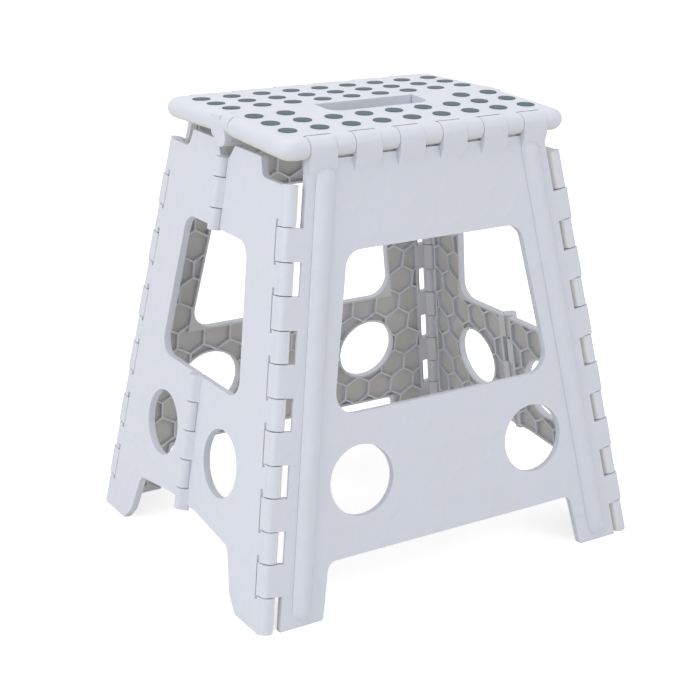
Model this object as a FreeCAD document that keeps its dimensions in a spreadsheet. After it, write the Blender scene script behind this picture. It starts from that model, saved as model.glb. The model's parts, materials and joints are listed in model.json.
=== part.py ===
import FreeCAD, Part
import math
import os

from FreeCAD import Placement, Rotation, Vector

# Folding step stool: eight ribbed panels, hinged so that the seat folds up along its
# middle while the two ends fold inwards between the front and the rear panel.
# Millimetres. Z is up, X runs along the seat, the front of the stool faces -Y,
# and the origin lies on the floor under the middle of the seat.

# Driving sizes, each written once. They become the cells of the sheet "Sizes".
SIZES = {
    "seat_height": 390.0,        # floor to the seam in the middle of the seat
    "seat_length": 276.0,        # along X, over the rounded rim
    "seat_depth": 218.0,         # along Y, over the rounded rim
    "seat_tilt": 1.8,            # degrees that each half rises towards the seam
    "rim_radius": 8.75,          # the bullnose all round the seat
    "seat_skin": 3.0,            # top skin over the ribbed underside
    "seam_gap": 0.3,             # between the two halves at the seam
    "seam_relief": 3.2,          # chamfer under the seam, so the halves fold freely
    "seat_pivot_drop": 9.3,      # seat pivot under the middle of the rim
    "seat_knuckle_radius": 8.6,  # barrels of the seat pivot
    "handle_length": 98.0,       # hand slot in the front half
    "handle_width": 31.0,
    "handle_corner": 13.0,
    "dot_radius": 7.7,           # anti-slip discs
    "dot_height": 0.6,
    "dot_pitch_x": 29.1,
    "dot_pitch_y": 27.8,
    "dot_first_row": 20.1,       # first row of discs from the seam
    "foot_y": 157.6,             # floor line of the front panel's outer face
    "lean_front": 56.7,          # how far that face comes in up to the seat height
    "foot_x": 190.6,             # floor line of an end panel's outer face
    "lean_side": 62.7,
    "panel_thickness": 6.2,      # skin and ribs together
    "panel_skin": 2.6,
    "rib_pitch": 27.0,           # honeycomb, flat to flat and one rib
    "rib_width": 2.4,
    "edge_wall": 4.0,            # solid border around the honeycomb
    "slot_relief": 3.6,          # strip beside the barrel slots with the skin alone
    "hinge_inset": 6.4,          # corner pivot behind both outer faces
    "barrel_radius": 6.3,        # barrels of the corner hinges
    "barrel_slot": 10.2,         # front panel's edge from the corner pivot
    "tab_hook": 7.0,             # how far a corner tab reaches round its pivot
    "tab_first_top": 318.4,      # top of the highest corner tab
    "tab_pitch": 52.5,
    "tab_length": 25.9,
    "tab_count": 6,
    "hinge_gap": 0.8,            # between neighbouring barrels along a pivot
    "swing_gap": 0.6,            # between a barrel and the edge it turns past
    "tab_gap": 1.5,              # between a corner tab and the end panel it hooks into
    "tab_recess_width": 3.4,     # shallow recess in the end panel above and below each tab
    "tab_recess_height": 5.2,
    "tab_recess_depth": 1.8,
    "pin_radius": 2.0,
    "pin_fit": 0.08,             # running fit of a pin in its barrels, on the radius
    "pin_end_gap": 0.5,          # between a pin and the closed end of its bore
    "bore_wall": 3.0,            # closed end of a bore
    "open_pivot_fit": 0.8,       # wider fit at the front right corner
    "seat_open_fit": 3.7,        # wide fit in the front half's middle barrels
    "centre_offset": 1.5,        # end panels' middle pivot outside their faces
    "centre_radius": 6.0,
    "centre_ramp": 8.0,          # where the flank of a middle barrel meets the face
    "centre_gap": 0.1,           # between a middle barrel's radius and the other half
    "leaf_gap": 0.3,             # half the gap between the halves of an end
    "seat_tab_width": 23.4,      # tabs of the front panel over the seat's rim
    "seat_tab_pitch": 41.0,
    "seat_tab_count": 6,
    "seat_tab_proud": 0.4,
    "seat_tab_flare": 12.0,      # how far a seat tab runs down the panel's face
    "front_top": 368.4,          # top edge of the front panel
    "front_window_top": 295.0,
    "front_window_bottom": 164.3,
    "front_window_half_top": 85.4,
    "front_window_half_bottom": 109.0,
    "window_corner": 15.0,
    "hole_radius": 30.0,
    "front_hole_x": 87.2,
    "hole_height": 108.0,
    "front_arch_top": 46.8,
    "front_arch_half": 124.6,
    "front_arch_corner": 9.0,
    "front_foot_inner": 134.4,
    "front_foot_round": 7.0,
    "bead_radius": 10.5,         # stiffening bead on the front and rear panels
    "bead_depth": 5.5,           # its centre behind the outer face
    "bead_x_top": 98.0,
    "bead_x_bottom": 154.4,
    "bead_z_top": 366.0,
    "bead_z_bottom": 4.0,
    "side_top": 366.0,           # end panels
    "side_shoulder": 351.0,      # step beside the highest corner barrel
    "side_shoulder_y": 66.0,
    "side_top_outer": 60.0,      # the top edge runs from here to side_top_inner
    "side_top_inner": 16.0,
    "side_notch_half": 7.5,      # recess in the top edge over the middle barrels
    "side_window_top": 295.4,
    "side_window_bottom": 169.6,
    "side_window_half_top": 54.7,
    "side_window_half_bottom": 73.2,
    "side_hole_radius": 29.0,
    "side_hole_y": 55.0,
    "side_hole_height": 110.0,
    "side_arch_middle": 56.0,
    "side_arch_flat": 24.0,
    "side_arch_corner": 8.0,
    "side_knee_y": 85.0,
    "side_knee_z": 48.6,
    "side_knee_corner": 10.0,
    "side_foot_inner": 97.5,
    "side_foot_chamfer": 13.0,
    "side_foot_corner": 14.0,
    "centre_top": 354.6,         # middle barrels of an end: top of the upper row
    "centre_upper_split": 312.7,   # lowest split between two barrels of that row
    "centre_upper_bottom": 293.8,
    "centre_lower_top": 170.6,
    "centre_lower_split": 70.3,
    "centre_lower_bottom": 50.8,
    "centre_pitch": 25.6,          # length of the barrels between the end ones
    "boss_length": 23.0,         # end bosses of the seat pivot, on the rear half
    "boss_half_width": 14.6,     # the rear half's share of each short rim
    "boss_wrap": 26.0,           # how far that share reaches in from the end
    "seat_barrel_length": 26.0,  # front half's barrels, next to the bosses
    "seat_inner_length": 18.0,   # rear half's inner barrels
}

DOC = FreeCAD.newDocument("folding_step_stool")
SHEET = DOC.addObject("Spreadsheet::Sheet", "Sizes")
for row, (alias, value) in enumerate(SIZES.items(), start=1):
    SHEET.set(f"A{row}", alias)
    SHEET.set(f"B{row}", str(value))
    SHEET.setAlias(f"B{row}", alias)
DOC.recompute()


def size(alias):
    """Value of one cell of the sheet."""
    return float(SHEET.get(alias))


# Frames of the leaning panels.
HEIGHT = size("seat_height")
SLOPE_FRONT = size("lean_front") / HEIGHT
SLOPE_SIDE = size("lean_side") / HEIGHT
FRONT_ANGLE = math.atan(SLOPE_FRONT)
SIDE_ANGLE = math.atan(SLOPE_SIDE)
X_AXIS = Vector(1, 0, 0)
Y_AXIS = Vector(0, 1, 0)
Z_AXIS = Vector(0, 0, 1)
HALF_TURN = Placement(Vector(0, 0, 0), Rotation(Z_AXIS, 180))
FRONT_FRAME = Placement(Vector(0, -size("foot_y"), 0), Rotation(X_AXIS, 90 - math.degrees(FRONT_ANGLE)))
SIDE_UP = Vector(math.sin(SIDE_ANGLE), 0, math.cos(SIDE_ANGLE))
SIDE_OUT = Vector(-math.cos(SIDE_ANGLE), 0, math.sin(SIDE_ANGLE))
SIDE_FRAME = Placement(Vector(-size("foot_x"), 0, 0), Rotation(-Y_AXIS, SIDE_UP, SIDE_OUT, "XYZ"))
FRONT_OUT = FRONT_FRAME.Rotation.multVec(Z_AXIS)

# Pivots. The corner pivot runs along the line where the two leaning faces would meet.
CORNER_WAY = SIDE_OUT.cross(FRONT_OUT).normalize()
CORNER_FOOT = Vector(
    -size("foot_x") + size("hinge_inset") / math.cos(SIDE_ANGLE),
    -size("foot_y") + size("hinge_inset") / math.cos(FRONT_ANGLE),
    0,
)
CENTRE_FOOT = Vector(-size("foot_x") - size("centre_offset") / math.cos(SIDE_ANGLE), 0, 0)
TILT = math.radians(size("seat_tilt"))
RIM = size("rim_radius")
HALF_DEPTH = size("seat_depth") / 2
HALF_LENGTH = size("seat_length") / 2
SEAT_REACH = HALF_DEPTH - RIM
BELOW_FLOOR = -2.0
RIB_DEPTH = "Sizes.panel_thickness - Sizes.panel_skin"
EDGE_PIVOT = Vector(0, -SEAT_REACH, HEIGHT - RIM / math.cos(TILT) - SEAT_REACH * math.tan(TILT))
SEAT_FRAME = Placement(EDGE_PIVOT, Rotation(X_AXIS, size("seat_tilt")))
SEAT_SPAN = SEAT_REACH / math.cos(TILT) + size("seat_pivot_drop") * math.tan(TILT)


def corner_point(height):
    """Point of the front left corner pivot at a height."""
    return CORNER_FOOT + CORNER_WAY * (height / CORNER_WAY.z)


def in_front(point):
    """Point of space in the front panel's own frame."""
    return FRONT_FRAME.inverse().multVec(point)


def in_side(point):
    """Point of space in the left end's own frame."""
    return SIDE_FRAME.inverse().multVec(point)


def front_up(height):
    """Distance up the front panel's outer face for a height."""
    return height / math.cos(FRONT_ANGLE)


def side_up(height):
    """Distance up an end panel's outer face for a height."""
    return height / math.cos(SIDE_ANGLE)


# Helpers for bodies, sketches and features.
def make_body(label, placement):
    """An empty body with its own place in space."""
    body = DOC.addObject("PartDesign::Body", label)
    body.Label = label
    body.Placement = placement
    return body


def make_sketch(body, name, frame=Placement()):
    """A sketch on the body's XY plane, moved by frame."""
    sketch = body.newObject("Sketcher::SketchObject", name)
    plane = next(item for item in body.Origin.OriginFeatures if item.Role == "XY_Plane")
    sketch.AttachmentSupport = (plane, "")
    sketch.MapMode = "FlatFace"
    sketch.AttachmentOffset = frame
    return sketch


def draw_polygon(sketch, corners):
    """Closed outline of (x, y) or (x, y, fillet radius) corners."""
    count = len(corners)
    starts = []
    ends = []
    for index, corner in enumerate(corners):
        here = Vector(corner[0], corner[1], 0)
        radius = corner[2] if len(corner) > 2 else 0
        if not radius:
            starts.append(here)
            ends.append(here)
            continue
        before = Vector(*corners[index - 1][:2], 0) - here
        after = Vector(*corners[(index + 1) % count][:2], 0) - here
        before.normalize()
        after.normalize()
        half = before.getAngle(after) / 2
        run = radius / math.tan(half)
        centre = here + (before + after).normalize() * (radius / math.sin(half))
        first = here + before * run
        last = here + after * run
        middle = centre + (here - centre).normalize() * radius
        sketch.addGeometry(Part.Arc(first, middle, last), False)
        starts.append(first)
        ends.append(last)
    for index in range(count):
        leave = ends[index]
        arrive = starts[(index + 1) % count]
        if leave.distanceToPoint(arrive) > 1e-6:
            sketch.addGeometry(Part.LineSegment(leave, arrive), False)


def draw_circle(sketch, x, y, radius):
    """A full circle."""
    sketch.addGeometry(Part.Circle(Vector(x, y, 0), Z_AXIS, radius), False)


def draw_hexagon(sketch, x, y, flat):
    """A bore of six flats, each at the same distance from the pin's axis."""
    reach = flat / math.cos(math.radians(30))
    angles = [math.radians(60 * turn) for turn in range(6)]
    draw_polygon(sketch, [(x + reach * math.cos(a), y + reach * math.sin(a)) for a in angles])


def add_pad(body, name, sketch, length, both=False, back=False):
    """Pad a sketch by a length, given as a number or an expression."""
    pad = body.newObject("PartDesign::Pad", name)
    pad.Profile = sketch
    set_length(pad, length)
    pad.SideType = "Symmetric" if both else "One side"
    pad.Reversed = back
    body.Tip = pad
    return pad


def add_pocket(body, name, sketch, length, both=False, back=False):
    """Cut a sketch into the body by a length, or symmetrically."""
    DOC.recompute()
    before = body.Shape.Volume
    pocket = body.newObject("PartDesign::Pocket", name)
    pocket.Profile = sketch
    set_length(pocket, length)
    pocket.SideType = "Symmetric" if both else "One side"
    pocket.Reversed = back
    body.Tip = pocket
    DOC.recompute()
    if body.Shape.Volume > before - 1e-3:
        raise RuntimeError(f"{body.Label}: {name} cut nothing")
    return pocket


def set_length(feature, length):
    """Bind the length to the sheet where it is an expression."""
    if isinstance(length, str):
        feature.setExpression("Length", length)
    else:
        feature.Length = length


def repeat_along(body, name, feature, sketch, pitch, count):
    """Copies of a feature along its sketch's normal."""
    DOC.recompute()
    pattern = body.newObject("PartDesign::LinearPattern", name)
    pattern.Originals = [feature]
    pattern.Direction = (sketch, ["N_Axis"])
    pattern.Mode = "Spacing"
    pattern.Offset = pitch
    pattern.Occurrences = count
    body.Tip = pattern
    DOC.recompute()
    return pattern


def frame_along(origin, way, outward):
    """Frame with Z along way and Y towards outward."""
    side = outward.cross(way).normalize()
    return Placement(origin, Rotation(side, outward, way, "ZYX"))


def distance_to_edges(point, polygon):
    """Shortest distance from a point to the edges of a polygon."""
    best = 1e9
    for index, start in enumerate(polygon):
        end = polygon[(index + 1) % len(polygon)]
        dx = end[0] - start[0]
        dy = end[1] - start[1]
        share = ((point[0] - start[0]) * dx + (point[1] - start[1]) * dy) / (dx * dx + dy * dy)
        share = min(1.0, max(0.0, share))
        best = min(best, math.hypot(point[0] - start[0] - share * dx, point[1] - start[1] - share * dy))
    return best


def is_inside(point, polygon):
    """Whether a point lies inside a polygon."""
    inside = False
    for index, start in enumerate(polygon):
        end = polygon[index - 1]
        if (start[1] > point[1]) != (end[1] > point[1]):
            cross = start[0] + (point[1] - start[1]) * (end[0] - start[0]) / (end[1] - start[1])
            if point[0] < cross:
                inside = not inside
    return inside


def honeycomb_cells(outline, windows, holes, across, pitch, wall):
    """Corners of each whole hexagon that fits between the walls."""
    reach = across / math.sqrt(3)
    row_step = pitch * math.sqrt(3) / 2
    low_x = min(corner[0] for corner in outline)
    high_x = max(corner[0] for corner in outline)
    low_y = min(corner[1] for corner in outline)
    high_y = max(corner[1] for corner in outline)
    middle = (low_x + high_x) / 2
    half_columns = int((high_x - low_x) / pitch / 2) + 1
    cells = []
    for row_index in range(int((high_y - low_y) / row_step) + 1):
        y = low_y + wall + reach + row_index * row_step
        shift = pitch / 2 if row_index % 2 else 0
        for column in range(-half_columns, half_columns + 1):
            x = middle + column * pitch + shift
            if not is_inside((x, y), outline):
                continue
            clear = distance_to_edges((x, y), outline) > reach + wall * 0.4
            clear = clear and all(math.hypot(x - hx, y - hy) > hr + reach + wall * 0.4 for hx, hy, hr in holes)
            for window in windows:
                clear = clear and not is_inside((x, y), window)
                clear = clear and distance_to_edges((x, y), window) > reach + wall * 0.4
            if clear:
                angles = [math.radians(30 + 60 * turn) for turn in range(6)]
                cells.append([(x + reach * math.cos(a), y + reach * math.sin(a)) for a in angles])
    return cells


def cut_honeycomb(body, outline, windows, holes, depth, level):
    """Pockets between the ribs, from the hidden side of a panel."""
    sketch = make_sketch(body, body.Label + "_cells", Placement(Vector(0, 0, level), Rotation()))
    across = size("rib_pitch") - size("rib_width")
    for cell in honeycomb_cells(outline, windows, holes, across, size("rib_pitch"), size("edge_wall")):
        draw_polygon(sketch, cell)
    return add_pocket(body, body.Label + "_honeycomb", sketch, depth, back=True)


def cut_floor(body, slope_angle, half_width):
    """Cut the foot level with the floor."""
    sketch = make_sketch(body, body.Label + "_floor", Placement(Vector(0, 0, 0), Rotation(Y_AXIS, 90)))
    reach = 4 * size("panel_thickness")
    inward = (reach * math.cos(slope_angle), reach * math.sin(slope_angle))
    outward = (-inward[0], -inward[1])
    draw_polygon(sketch, [outward, inward, (inward[0], inward[1] - reach), (outward[0], outward[1] - reach)])
    return add_pocket(body, body.Label + "_foot_cut", sketch, 2 * half_width, both=True)


# Front and rear panel: one moulding, used twice.
def tab_levels():
    """Bottom height of each corner tab, lowest first."""
    count = int(size("tab_count"))
    lowest = size("tab_first_top") - (count - 1) * size("tab_pitch") - size("tab_length")
    return [lowest + index * size("tab_pitch") for index in range(count)]


def front_edge_x(height, from_pivot):
    """Half width of the front panel at a height, from_pivot inside the corner pivot."""
    point = in_front(corner_point(height))
    along = in_front(corner_point(height + 1)) - point
    lean = math.atan2(along.x, along.y)
    return -point.x - from_pivot / math.cos(lean)


def front_outline(slot):
    """Outline of the front panel without its tabs, its edges slot inside the pivots."""
    top = size("front_top")
    arch = front_up(size("front_arch_top"))
    corner = size("front_arch_corner")
    right = [
        (size("front_foot_inner"), BELOW_FLOOR, size("front_foot_round")),
        (front_edge_x(BELOW_FLOOR, slot), BELOW_FLOOR, 0),
        (front_edge_x(top, slot), front_up(top), 0),
    ]
    left = [(-x, y, radius) for x, y, radius in reversed(right)]
    return right + left + [
        (-size("front_arch_half"), arch, corner),
        (size("front_arch_half"), arch, corner),
    ]


def make_front(label, placement, corner_fits):
    """Front or rear panel, with a bore fit for its left and its right corner."""
    body = make_body(label, placement)
    outline = front_outline(size("barrel_slot"))
    inner_outline = front_outline(size("barrel_slot") + size("slot_relief"))
    corner = size("window_corner")
    window = [
        (-size("front_window_half_bottom"), front_up(size("front_window_bottom")), corner + 3),
        (size("front_window_half_bottom"), front_up(size("front_window_bottom")), corner + 3),
        (size("front_window_half_top"), front_up(size("front_window_top")), corner),
        (-size("front_window_half_top"), front_up(size("front_window_top")), corner),
    ]
    hole_y = front_up(size("hole_height"))
    holes = [(side * size("front_hole_x"), hole_y, size("hole_radius")) for side in (-1, 1)]
    sketch = make_sketch(body, label + "_outline")
    draw_polygon(sketch, outline)
    draw_polygon(sketch, window)
    for hole in holes:
        draw_circle(sketch, *hole)
    add_pad(body, label + "_plate", sketch, "Sizes.panel_thickness", back=True)

    for side in (-1, 1):
        add_corner_tabs(body, label, side)
        add_bead(body, label, side)
    cut_barrel_slots(body, label)
    add_seat_tabs(body, label)
    for side, fit in zip((-1, 1), corner_fits):
        cut_corner_bore(body, label, side, fit)
    bore_seat_tabs(body, label)
    cut_floor(body, FRONT_ANGLE, size("foot_x"))
    cut_honeycomb(body, inner_outline, [window], holes, RIB_DEPTH, -size("panel_thickness"))
    return body


def corner_frame(height, side):
    """Frame on a corner pivot of the front panel: Z up the pivot, Y outwards."""
    foot = in_front(corner_point(height))
    way = FRONT_FRAME.Rotation.inverted().multVec(CORNER_WAY)
    if side > 0:
        foot.x = -foot.x
        way.x = -way.x
    return frame_along(foot, way, Z_AXIS)


def add_corner_tabs(body, label, side):
    """Rail from which the corner tabs are cut: square outside, hooked round the pivot."""
    inset = size("hinge_inset")
    hook = size("tab_hook")
    levels = tab_levels()
    sketch = make_sketch(body, f"{label}_rail{side}", corner_frame(levels[0], side))
    out = -side
    draw_polygon(sketch, [
        (-out * (size("barrel_slot") + 1), inset),
        (out * inset, inset, 4),
        (out * inset, -hook),
        (-out * hook * 0.2, -hook),
        (-out * hook, -hook * 0.3),
        (-out * hook, inset - size("panel_thickness")),
        (-out * (size("barrel_slot") + 1), inset - size("panel_thickness")),
    ])
    run = (levels[-1] + size("tab_length") - levels[0]) / CORNER_WAY.z
    add_pad(body, f"{label}_tabs{side}", sketch, run)


def barrel_slot_corners(side, low, high, reach):
    """Corners of one space between two corner tabs, reach inside the pivot."""
    corners = []
    outside = -3 * size("hinge_inset")
    for level, inward in ((low, reach), (high, reach), (high, outside), (low, outside)):
        point = in_front(corner_point(level))
        along = in_front(corner_point(level + 1)) - point
        along.normalize()
        place = point - Vector(-along.y, along.x, 0) * inward
        corners.append((-side * place.x if side > 0 else place.x, place.y))
    return corners


def cut_barrel_slots(body, label):
    """Spaces between the corner tabs, where the end panels' barrels turn, with thin edges."""
    slots = make_sketch(body, label + "_slots", Placement(Vector(0, 0, 3 * size("hinge_inset")), Rotation()))
    thin = make_sketch(body, label + "_thin", Placement(Vector(0, 0, -size("panel_thickness")), Rotation()))
    levels = tab_levels()
    length = size("tab_length")
    for side in (-1, 1):
        for low, high in zip(levels[:-1], levels[1:]):
            draw_polygon(slots, barrel_slot_corners(side, low + length, high, size("barrel_slot")))
            wide = size("barrel_slot") + size("slot_relief")
            draw_polygon(thin, barrel_slot_corners(side, low + length, high, wide))
    add_pocket(body, label + "_barrel_slots", slots, "8 * Sizes.hinge_inset")
    add_pocket(body, label + "_thin_edges", thin, RIB_DEPTH, back=True)


def cut_corner_bore(body, label, side, fit):
    """Pin bore through the corner tabs."""
    low = tab_levels()[0] - 1
    sketch = make_sketch(body, f"{label}_bore{side}", corner_frame(low, side))
    draw_hexagon(sketch, 0, 0, size("pin_radius") + fit)
    run = (size("tab_first_top") + 2 - low) / CORNER_WAY.z
    add_pocket(body, f"{label}_corner_bore{side}", sketch, run, back=True)


def add_bead(body, label, side):
    """Half-round stiffening bead with domed ends, turned about its own axis."""
    low = Vector(side * size("bead_x_bottom"), front_up(size("bead_z_bottom")), -size("bead_depth"))
    high = Vector(side * size("bead_x_top"), front_up(size("bead_z_top")), -size("bead_depth"))
    way = high - low
    run = way.Length
    way.normalize()
    radius = size("bead_radius")
    frame = Placement(low, Rotation(way, Z_AXIS, way.cross(Z_AXIS), "XYZ"))
    sketch = make_sketch(body, f"{label}_bead{side}", frame)
    draw_polygon(sketch, [(0, 0), (run, 0), (run, radius, radius * 0.98), (0, radius, radius * 0.98)])
    DOC.recompute()
    bead = body.newObject("PartDesign::Revolution", f"{label}_bead_turn{side}")
    bead.Profile = sketch
    bead.ReferenceAxis = (sketch, ["H_Axis"])
    bead.Angle = 112
    bead.Midplane = True
    body.Tip = bead
    DOC.recompute()


def seat_tab_centres():
    """X of the middle of each seat tab."""
    count = int(size("seat_tab_count"))
    return [(index - (count - 1) / 2) * size("seat_tab_pitch") for index in range(count)]


def edge_pivot_in_front():
    """Seat edge pivot in the front panel's frame, as (distance up, distance out)."""
    point = in_front(EDGE_PIVOT)
    return point.y, point.z


def add_seat_tabs(body, label):
    """Barrels round the seat's rim, each flared down into the panel."""
    up, out = edge_pivot_in_front()
    radius = RIM + size("seat_tab_proud")
    inner = -size("panel_thickness")
    bottom = front_up(size("front_top")) - up
    root = bottom - size("seat_tab_flare")
    first = seat_tab_centres()[0] - size("seat_tab_width") / 2
    frame = Placement(Vector(first, up, out), Rotation(Y_AXIS, Z_AXIS, X_AXIS, "XYZ"))
    sketch = make_sketch(body, label + "_seat_tab", frame)
    draw_circle(sketch, 0, 0, radius)
    barrel = add_pad(body, label + "_seat_barrel", sketch, "Sizes.seat_tab_width")
    neck = make_sketch(body, label + "_seat_neck", frame)
    draw_polygon(neck, [
        (0, radius * 0.985),
        (root * 0.45, radius * 0.93),
        (root, -out),
        (root - 2, -out),
        (root - 2, inner - out),
        (bottom, inner - out),
        (0, -radius * 0.5),
    ])
    shank = add_pad(body, label + "_seat_shank", neck, "Sizes.seat_tab_width")
    pitch = size("seat_tab_pitch")
    count = int(size("seat_tab_count"))
    repeat_along(body, label + "_seat_barrels", barrel, sketch, pitch, count)
    repeat_along(body, label + "_seat_shanks", shank, neck, pitch, count)


def bore_seat_tabs(body, label):
    """Pin bore through the seat tabs."""
    up, out = edge_pivot_in_front()
    first = seat_tab_centres()[0] - size("seat_tab_width") / 2 - 1
    frame = Placement(Vector(first, up, out), Rotation(Y_AXIS, Z_AXIS, X_AXIS, "XYZ"))
    sketch = make_sketch(body, label + "_seat_bore_flats", frame)
    draw_hexagon(sketch, 0, 0, size("pin_radius") + size("pin_fit"))
    add_pocket(body, label + "_seat_bore", sketch, -2 * first, back=True)


# End panels: two halves each, one the mirror of the other but for their middle barrels.
def centre_barrels():
    """Bottom and top of each middle barrel, lowest first."""
    rows = []
    pitch = size("centre_pitch")
    for low, split, high, inner_count in (
        (size("centre_lower_bottom"), size("centre_lower_split"), size("centre_lower_top"), 3),
        (size("centre_upper_bottom"), size("centre_upper_split"), size("centre_top"), 1),
    ):
        levels = [low] + [split + index * pitch for index in range(inner_count + 1)] + [high]
        rows += list(zip(levels[:-1], levels[1:]))
    return rows


def side_edge_x(height):
    """Distance of the corner pivot from the middle of an end panel."""
    return in_side(corner_point(height)).x


def side_outline(hand):
    """Outline of one half of an end panel, with hand +1 for the front left half."""
    gap = size("leaf_gap")
    shoulder = size("side_shoulder")
    window_top = side_up(size("side_window_top"))
    window_bottom = side_up(size("side_window_bottom"))
    corner = size("window_corner")
    arch = side_up(size("side_arch_middle"))
    right = [
        (gap, arch),
        (size("side_arch_flat"), arch, size("side_arch_corner")),
        (size("side_knee_y"), side_up(size("side_knee_z")), size("side_knee_corner")),
        (size("side_foot_inner"), side_up(size("side_foot_chamfer")), size("side_foot_corner")),
        (size("side_foot_inner") + size("side_foot_chamfer") - BELOW_FLOOR, BELOW_FLOOR),
        (side_edge_x(BELOW_FLOOR), BELOW_FLOOR),
        (side_edge_x(shoulder), side_up(shoulder)),
        (size("side_shoulder_y"), side_up(shoulder), size("window_corner") / 2),
        (size("side_top_outer"), side_up(size("side_top"))),
        (size("side_top_inner"), side_up(size("side_top"))),
        (size("side_notch_half"), side_up(size("centre_top"))),
        (gap, side_up(size("centre_top"))),
        (gap, window_top),
        (size("side_window_half_top"), window_top, corner),
        (size("side_window_half_bottom"), window_bottom, corner),
        (gap, window_bottom),
    ]
    return [(hand * corner_[0], *corner_[1:]) for corner_ in right]


def make_side(label, placement, hand, own_parity, fit):
    """Half of an end panel. own_parity picks its middle barrels, fit its corner bore."""
    body = make_body(label, placement)
    outline = side_outline(hand)
    hole = (hand * size("side_hole_y"), side_up(size("side_hole_height")), size("side_hole_radius"))
    sketch = make_sketch(body, label + "_outline")
    draw_polygon(sketch, outline)
    draw_circle(sketch, *hole)
    add_pad(body, label + "_plate", sketch, "Sizes.panel_thickness", back=True)
    add_corner_barrels(body, label, hand)
    add_centre_barrels(body, label, hand, own_parity)
    cut_side_corner_bore(body, label, hand, fit)
    cut_centre_bores(body, label)
    cut_floor(body, SIDE_ANGLE, 2 * size("foot_y"))
    cut_honeycomb(body, inset_side(outline, hand), [], [hole], RIB_DEPTH, -size("panel_thickness"))
    return body


def tab_spans():
    """Bottom and top height of each corner tab."""
    return [(low, low + size("tab_length")) for low in tab_levels()]


def inset_side(outline, hand):
    """The outline with its hinge edges drawn in, to keep the honeycomb off them."""
    notch = size("tab_hook") + size("tab_gap")
    middle = size("centre_radius") + 2 * size("swing_gap")
    shifted = []
    for corner in outline:
        x = corner[0] * hand
        if x < middle:
            x = middle
        if x >= side_edge_x(size("side_shoulder")) - 1:
            x -= notch
        shifted.append((hand * x, corner[1]))
    return shifted


def side_corner_frame(height, hand):
    """Frame on the corner pivot of an end panel half: Z up the pivot, Y outwards."""
    foot = in_side(corner_point(height))
    way = SIDE_FRAME.Rotation.inverted().multVec(CORNER_WAY)
    foot.x *= hand
    way.x *= hand
    return frame_along(foot, way, Z_AXIS)


def add_corner_barrels(body, label, hand):
    """Full-length barrel along the corner edge, then the spaces for the tabs."""
    shoulder = size("side_shoulder")
    sketch = make_sketch(body, label + "_barrel_round", side_corner_frame(0, hand))
    draw_circle(sketch, 0, 0, size("barrel_radius"))
    add_pad(body, label + "_barrels", sketch, shoulder / CORNER_WAY.z)
    cut = make_sketch(body, label + "_notches", Placement(Vector(0, 0, 3 * size("hinge_inset")), Rotation()))
    recess = make_sketch(body, label + "_recess")
    gap = size("hinge_gap")
    outside = -3 * size("hinge_inset")
    inside = size("tab_hook") + size("tab_gap")
    for low, high in tab_spans():
        draw_polygon(cut, notch_corners(hand, low - gap, high + gap, inside, outside))
        if high + gap + size("tab_recess_height") < shoulder:
            tall = size("tab_recess_height")
            wide = size("tab_recess_width")
            draw_polygon(recess, notch_corners(hand, high + gap - 0.1, high + gap + tall, inside, inside - wide))
            draw_polygon(recess, notch_corners(hand, low - gap - tall / 2, low - gap + 0.1, inside, inside - wide))
    add_pocket(body, label + "_tab_notches", cut, "8 * Sizes.hinge_inset")
    add_pocket(body, label + "_tab_recesses", recess, "Sizes.tab_recess_depth")


def notch_corners(hand, low, high, inside, outside):
    """Corners of a space along the corner edge of an end panel half."""
    corners = []
    for level, reach in ((low, inside), (high, inside), (high, outside), (low, outside)):
        point = in_side(corner_point(level))
        along = in_side(corner_point(level + 1)) - point
        along.normalize()
        place = point - Vector(along.y, -along.x, 0) * reach
        corners.append((hand * place.x, place.y))
    return corners


def cut_side_corner_bore(body, label, hand, fit):
    """Blind pin bore along the corner barrels."""
    low = size("barrel_radius") / 2
    sketch = make_sketch(body, label + "_bore", side_corner_frame(low, hand))
    draw_hexagon(sketch, 0, 0, size("pin_radius") + fit)
    run = (size("side_shoulder") - 2 * low) / CORNER_WAY.z
    add_pocket(body, label + "_corner_bore", sketch, run, back=True)


def centre_frame(height):
    """Frame on the middle pivot of an end panel."""
    return Placement(Vector(0, side_up(height), size("centre_offset")), Rotation(Z_AXIS, X_AXIS, Y_AXIS, "XYZ"))


def add_centre_barrels(body, label, hand, own_parity):
    """Middle barrels of this half, and notches for those of the other."""
    offset = size("centre_offset")
    radius = size("centre_radius")
    ramp = size("centre_ramp")
    notches = make_sketch(body, label + "_centre_notch", Placement(Vector(0, 0, 3 * radius), Rotation()))
    clear = radius + size("centre_gap")
    gap = size("hinge_gap")
    for index, (low, high) in enumerate(centre_barrels()):
        if index % 2 == own_parity:
            continue
        draw_polygon(notches, [
            (-hand * radius, side_up(low) - gap / 2),
            (hand * clear, side_up(low) - gap / 2),
            (hand * clear, side_up(high) + gap / 2),
            (-hand * radius, side_up(high) + gap / 2),
        ])
    add_pocket(body, label + "_centre_notches", notches, "6 * Sizes.centre_radius")
    for index, (low, high) in enumerate(centre_barrels()):
        if index % 2 != own_parity:
            continue
        sketch = make_sketch(body, f"{label}_barrel{index}", centre_frame(low + gap / 2))
        flank = 0.62 * radius
        draw_polygon(sketch, [
            (flank, hand * math.sqrt(radius ** 2 - flank ** 2)),
            (-offset, hand * ramp),
            (-offset - 2, hand * ramp),
            (-offset - 2, 0),
            (0, 0),
        ])
        add_pad(body, f"{label}_flank{index}", sketch, side_up(high - low) - gap)
        ring = make_sketch(body, f"{label}_ring{index}", centre_frame(low + gap / 2))
        draw_circle(ring, 0, 0, radius)
        add_pad(body, f"{label}_centre_barrel{index}", ring, side_up(high - low) - gap)


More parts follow.
